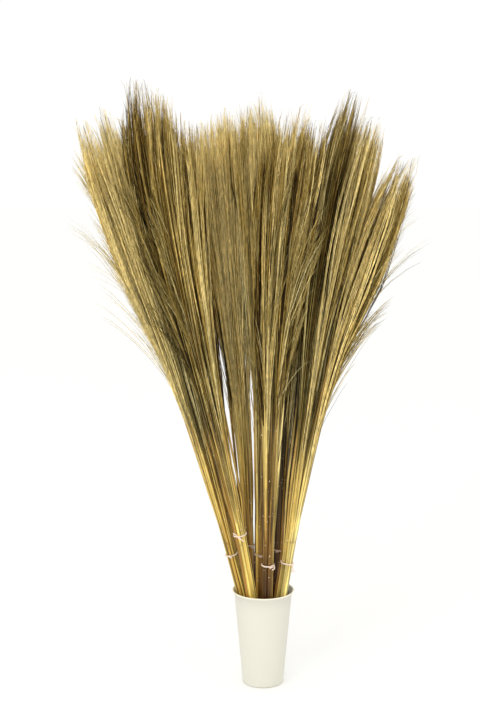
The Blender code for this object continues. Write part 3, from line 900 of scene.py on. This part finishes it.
def knot_path(centre, facing):
    """A small overhand knot that lies flat against the bunch."""
    right = np.cross(UP, facing)
    t = np.linspace(0, math.tau, KNOT_RINGS)
    flat = np.sin(t) + 2 * np.sin(2 * t), np.cos(t) - 2 * np.cos(2 * t), KNOT_DEPTH * np.sin(3 * t)
    return centre + KNOT_SIZE * sum(part[:, None] * axis for part, axis in zip(flat, (right, UP, facing)))


def tail_path(centre, facing, heading, curl, length):
    """A loose end that leaves the knot along a heading, curls and drifts off the bunch."""
    right = np.cross(UP, facing)
    share = np.linspace(0, 1, max(TAIL_RINGS, round(length / STRING_STEP)))
    heading = np.radians(heading + curl * share)
    steps = np.cos(heading)[:, None] * right + np.sin(heading)[:, None] * UP
    path = centre + np.cumsum(steps, axis=0) * length / len(share)
    return path + facing * (TAIL_DRIFT * length * share)[:, None]


def make_tie(bunch, thread):
    """The string round a bunch, wound twice, with its knot and loose ends."""
    surface = Surface()
    path, start, facing = string_turns(bunch)
    knot = start + facing * STRING_RADIUS
    add_string(surface, path, bunch.pale, TURNS_SHEET, UP)
    knot_tube = knot_path(knot, facing)[None]
    radii = np.full(knot_tube.shape[:2], KNOT_WIDTH * PLY_RADIUS)
    shades = np.full_like(knot_tube, bunch.pale)
    surface.add_tubes(knot_tube, radii, shades, STRING_SIDES, KNOT_SHEET, guide=facing)
    for tail, sheet in zip(bunch.tails, TAIL_SHEETS):
        add_string(surface, tail_path(knot, facing, *tail), bunch.pale, sheet, facing)
    make_piece(surface, f"{bunch.name}_string", [thread], f"{bunch.name}_tie")


def wall_radius(z):
    """Outside radius of the vase's straight taper at height z."""
    return VASE_BASE_RADIUS + (VASE_TOP_RADIUS - VASE_BASE_RADIUS) * z / (VASE_HEIGHT - LIP_HEIGHT)


def vase_outline():
    """Radius and height of the vase's outline, from the middle of its base round to that of its floor."""
    body_top = VASE_HEIGHT - LIP_HEIGHT
    turn = np.linspace(0, math.pi / 2, FOOT_POINTS)
    foot_radius = wall_radius(VASE_FOOT_BEVEL) - VASE_FOOT_BEVEL
    curve = np.column_stack((np.sin(turn), 1 - np.cos(turn)))
    foot = VASE_FOOT_BEVEL * curve + (foot_radius, 0)
    z = np.linspace(VASE_FOOT_BEVEL, body_top, BODY_POINTS)[1:]
    body = np.column_stack((wall_radius(z), z))
    share = np.linspace(0, 1, LIP_POINTS)[1:]
    lip_rise = LIP_HEIGHT - VASE_WALL / 2
    lip = np.column_stack((VASE_TOP_RADIUS + LIP_FLARE * share ** LIP_BEND, body_top + lip_rise * share))
    turn = np.linspace(0, math.pi, LIP_POINTS)[1:-1]
    edge_middle = lip[-1] - (VASE_WALL / 2, 0)
    edge = edge_middle + VASE_WALL / 2 * circle(turn)
    wall = np.concatenate((body, lip))
    inside = wall[wall[:, 1] > VASE_FLOOR][::-1] - (VASE_WALL, 0)
    floor = np.array(((wall_radius(VASE_FLOOR) - VASE_WALL, VASE_FLOOR), (0.0, VASE_FLOOR)))
    return np.concatenate(([(0.0, 0.0)], foot, wall, edge, inside, floor))


def make_vase(glaze):
    """The vase, turned from its outline. Its shades mark the edge of its rim for a painted highlight and the
    band below that for painted shade.
    """
    surface = Surface()
    outline = vase_outline()
    shades = np.zeros((len(outline), 3))
    z = outline[:, 1]
    # painted highlight on the rim's edge
    shades[:, 1] = rise(z, *PAINTED_RIM_HIGHLIGHT_Z)
    # painted shade in the band below the lip
    shades[:, 2] = rise(z, *PAINTED_LIP_SHADE_Z) * (z < VASE_HEIGHT - PAINTED_LIP_SHADE_END)
    surface.add_turned(outline, shades, VASE_SIDES)
    make_piece(surface, "vase_body", [glaze], "vase")


def linear(red, green, blue):
    """Linear light of a colour given in 0 to 255."""
    def channel(value):
        value /= 255
        return value / 12.92 if value <= 0.04045 else ((value + 0.055) / 1.055) ** 2.4
    return (channel(red), channel(green), channel(blue), 1.0)


class Nodes:
    """A material's node tree, with short calls for the nodes that it needs."""

    def __init__(self, name, roughness):
        self.material = bpy.data.materials.new(name)
        self.material.use_nodes = True
        self.tree = self.material.node_tree
        self.shader = self.tree.nodes["Principled BSDF"]
        self.shader.inputs["Roughness"].default_value = roughness

    def feed(self, socket, value):
        """Links a socket to another node's, or gives it a number, vector or colour."""
        if isinstance(value, bpy.types.NodeSocket):
            self.tree.links.new(value, socket)
        else:
            socket.default_value = value

    def add(self, kind, inputs=None, **settings):
        node = self.tree.nodes.new(kind)
        for name, value in settings.items():
            setattr(node, name, value)
        for name, value in (inputs or {}).items():
            self.feed(node.inputs[name], value)
        return node

    def shade(self):
        """The mesh's three shade channels and its shift, by name."""
        layer = self.add("ShaderNodeVertexColor", layer_name="shade")
        split = self.add("ShaderNodeSeparateColor", {"Color": layer.outputs["Color"]})
        return {**split.outputs, "Shift": layer.outputs["Alpha"]}

    def ramp(self, factor, stops):
        """A colour ramp through stops of position, red, green and blue."""
        node = self.add("ShaderNodeValToRGB", {"Fac": factor})
        elements = node.color_ramp.elements
        for element, (position, *colour) in zip(elements, (stops[0], stops[-1])):
            element.position = position
            element.color = linear(*colour)
        for position, *colour in stops[1:-1]:
            elements.new(position).color = linear(*colour)
        return node.outputs["Color"]

    def noise(self, scale, detail, stretch=(1, 1, 1), place=None):
        """Noise at a place, or else fixed to the object, stretched along the axes."""
        if place is None:
            place = self.add("ShaderNodeTexCoord").outputs["Object"]
        mapping = self.add("ShaderNodeMapping", {"Vector": place, "Scale": stretch})
        inputs = {"Vector": mapping.outputs["Vector"], "Scale": scale, "Detail": detail}
        return self.add("ShaderNodeTexNoise", inputs).outputs["Fac"]

    def grain(self, shade, across, up):
        """Noise on the flat map: streaks that run along each cane and differ from cane to cane."""
        flat_map = self.add("ShaderNodeUVMap", uv_map="OFBake")
        split = self.add("ShaderNodeSeparateXYZ", {"Vector": flat_map.outputs["UV"]})
        place = {"X": split.outputs["X"], "Y": split.outputs["Y"], "Z": shade["Shift"]}
        join = self.add("ShaderNodeCombineXYZ", place)
        return self.noise(1, 3, (across, up, GRAIN_SHIFT), join.outputs["Vector"])

    def math(self, operation, first, second):
        node = self.add("ShaderNodeMath", {0: first, 1: second}, operation=operation)
        return node.outputs["Value"]

    def spread(self, factor, low, high, start=0.0, end=1.0):
        """Maps start to end onto low to high."""
        inputs = {"Value": factor, "From Min": start, "From Max": end, "To Min": low, "To Max": high}
        return self.add("ShaderNodeMapRange", inputs).outputs["Result"]

    def mix(self, factor, first, second):
        """Mixes two colours, each a socket or red, green and blue."""
        node = self.add("ShaderNodeMix", {"Factor": factor}, data_type="RGBA")
        colours = [socket for socket in node.inputs if socket.type == "RGBA"]
        for socket, value in zip(colours, (first, second)):
            self.feed(socket, linear(*value) if isinstance(value, tuple) else value)
        return next(socket for socket in node.outputs if socket.type == "RGBA")

    def brighten(self, colour, factor):
        inputs = {"Vector": colour, "Scale": factor}
        return self.add("ShaderNodeVectorMath", inputs, operation="SCALE").outputs["Vector"]

    def colour(self, socket):
        self.feed(self.shader.inputs["Base Color"], socket)

    def roughness(self, socket):
        self.feed(self.shader.inputs["Roughness"], socket)

    def bump(self, height, strength, distance):
        node = self.add("ShaderNodeBump", {"Height": height, "Strength": strength, "Distance": distance})
        self.feed(self.shader.inputs["Normal"], node.outputs["Normal"])


def hair_material():
    """Dry plume hair: straw of many tints, greyer and greener low down."""
    nodes = Nodes("plume_hair", 0.5)
    nodes.shader.inputs["Specular IOR Level"].default_value = 0.2
    shade = nodes.shade()
    straw = nodes.ramp(shade["Red"], [
        (0.0, 44, 28, 4), (0.2, 100, 74, 20), (0.45, 172, 141, 62),
        (0.7, 217, 187, 106), (1.0, 252, 228, 153),
    ])
    olive = nodes.ramp(shade["Red"], [
        (0.0, 44, 40, 14), (0.3, 102, 92, 46), (0.65, 162, 149, 92),
        (1.0, 212, 200, 148),
    ])
    colour = nodes.mix(shade["Green"], straw, olive)
    patches = nodes.noise(scale=60, detail=3.0, stretch=(1, 1, 0.15))
    husks = nodes.noise(scale=420, detail=2.0, stretch=(1, 1, 0.22))
    own = nodes.spread(shade["Blue"], 0.84, 1.10)
    level = nodes.math("MULTIPLY", own, nodes.spread(patches, 0.84, 1.14, 0.3, 0.7))
    level = nodes.math("MULTIPLY", level, nodes.spread(husks, 0.68, 1.30, 0.35, 0.65))
    nodes.colour(nodes.brighten(colour, level))
    nodes.roughness(nodes.spread(patches, 0.42, 0.66))
    return nodes.material


def cane_material():
    """Smooth straw cane: golden low down, some brown or green, with streaks, joints and specks."""
    nodes = Nodes("cane", 0.4)
    nodes.shader.inputs["Specular IOR Level"].default_value = 0.3
    shade = nodes.shade()
    low = nodes.ramp(shade["Red"], [
        (0.0, 66, 40, 12), (0.25, 136, 94, 34), (0.42, 184, 142, 62),
        (0.6, 214, 180, 84), (0.8, 236, 206, 106), (1.0, 250, 230, 142),
    ])
    high = nodes.ramp(shade["Red"], [
        (0.0, 58, 48, 18), (0.25, 110, 90, 38), (0.42, 160, 126, 62),
        (0.6, 188, 160, 86), (0.8, 207, 183, 108), (1.0, 225, 205, 138),
    ])
    colour = nodes.mix(shade["Green"], low, high)
    streaks = nodes.grain(shade, across=120, up=2.5)
    blotches = nodes.grain(shade, across=30, up=16)
    level = nodes.math(
        "MULTIPLY", nodes.spread(streaks, 0.32, 1.20, 0.39, 0.54),
        nodes.spread(blotches, 0.80, 1.22, 0.35, 0.65))
    colour = nodes.brighten(colour, level)
    colour = nodes.mix(nodes.math("MULTIPLY", shade["Blue"], 0.45), colour, (104, 74, 36))
    specks = nodes.noise(scale=420, detail=0.0)
    pale = nodes.math("GREATER_THAN", specks, 0.815)
    colour = nodes.mix(pale, colour, (246, 230, 196))
    nodes.colour(colour)
    nodes.roughness(nodes.spread(blotches, 0.3, 0.6))
    nodes.bump(streaks, strength=0.35, distance=0.0004)
    return nodes.material


def vase_material():
    """Matt cream glaze, with a warm painted highlight on the rim and grey painted shade just below it."""
    nodes = Nodes("vase_glaze", 0.55)
    shade = nodes.shade()
    clouds = nodes.noise(scale=14, detail=3.0)
    grain = nodes.noise(scale=900, detail=2.0)
    colour = nodes.mix(clouds, (221, 218, 204), (214, 212, 198))
    # painted shade: greyer in the band below the lip
    colour = nodes.mix(nodes.math("MULTIPLY", shade["Blue"], 0.55), colour, (206, 202, 190))
    # painted highlight: lighter and warmer on the rim's edge
    colour = nodes.mix(shade["Green"], colour, (246, 241, 216))
    nodes.colour(colour)
    nodes.roughness(nodes.spread(clouds, 0.5, 0.62))
    nodes.bump(grain, strength=0.12, distance=0.0002)
    return nodes.material


def string_material():
    nodes = Nodes("string", 0.85)
    shade = nodes.shade()
    fibres = nodes.noise(scale=1600, detail=2.0)
    # painted shade: a darker copy of the string's colour, mixed in by each string's brightness, for strings
    # that other bunches shade
    painted_shade_string = nodes.mix(fibres, (128, 96, 70), (186, 154, 124))
    pale = nodes.mix(fibres, (228, 198, 176), (255, 244, 230))
    nodes.colour(nodes.mix(shade["Red"], painted_shade_string, pale))
    nodes.roughness(nodes.spread(fibres, 0.75, 0.95))
    nodes.bump(fibres, strength=0.5, distance=0.0002)
    return nodes.material


def floor_material():
    nodes = Nodes("floor", 0.9)
    nodes.shader.inputs["Base Color"].default_value = (0.97, 0.97, 0.96, 1)
    return nodes.material


def make_camera():
    data = bpy.data.cameras.new("camera")
    data.lens = CAMERA_LENS
    data.sensor_width = SENSOR
    camera = put("camera", data)
    camera.location = CAMERA_PLACE
    camera.rotation_euler = (math.pi / 2 - CAMERA_DIP, 0, 0)
    bpy.context.scene.camera = camera


def make_lamp(name, place, size, power):
    data = bpy.data.lights.new(name, "AREA")
    data.size = size
    data.energy = power
    lamp = put(name, data)
    lamp.location = place
    lamp.rotation_euler = (Vector(LAMP_AIM) - Vector(place)).to_track_quat("-Z", "Y").to_euler()


def make_stage():
    mesh = bpy.data.meshes.new("floor")
    corners = [(FLOOR_HALF * x, FLOOR_HALF * y, 0) for x, y in ((-1, -1), (1, -1), (1, 1), (-1, 1))]
    mesh.from_pydata(corners, [], [(0, 1, 2, 3)])
    mesh.materials.append(floor_material())
    floor = put("floor", mesh)
    floor.location.z = -FLOOR_DROP
    world = bpy.data.worlds.new("studio")
    world.use_nodes = True
    light = world.node_tree.nodes["Background"].inputs
    light["Color"].default_value = WORLD_COLOUR
    light["Strength"].default_value = WORLD_LIGHT
    bpy.context.scene.world = world
    make_lamp("key", *KEY_LAMP)
    make_lamp("fill", *FILL_LAMP)
    bpy.context.scene.view_settings.view_transform = "Standard"


def make_piece(surface, name, materials, node):
    piece = surface.to_object(name, materials)
    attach(piece, "root")
    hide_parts(node)


def make_grass():
    hair, cane, thread = hair_material(), cane_material(), string_material()
    for index, bunch in enumerate(BUNCHES):
        for number, stem in enumerate(stems_of(bunch, index)):
            surface = Surface(stem.tint)
            add_cane(surface, stem)
            add_side_canes(surface, stem)
            if 0 < number <= len(bunch.loose):
                add_loose_cane(surface, stem, bunch.loose[number - 1])
            add_plume(surface, stem)
            make_piece(surface, stem.node.replace("stem", "grass"), [cane, hair], stem.node)
        make_tie(bunch, thread)


make_camera()
make_stage()
make_vase(vase_material())
make_grass()
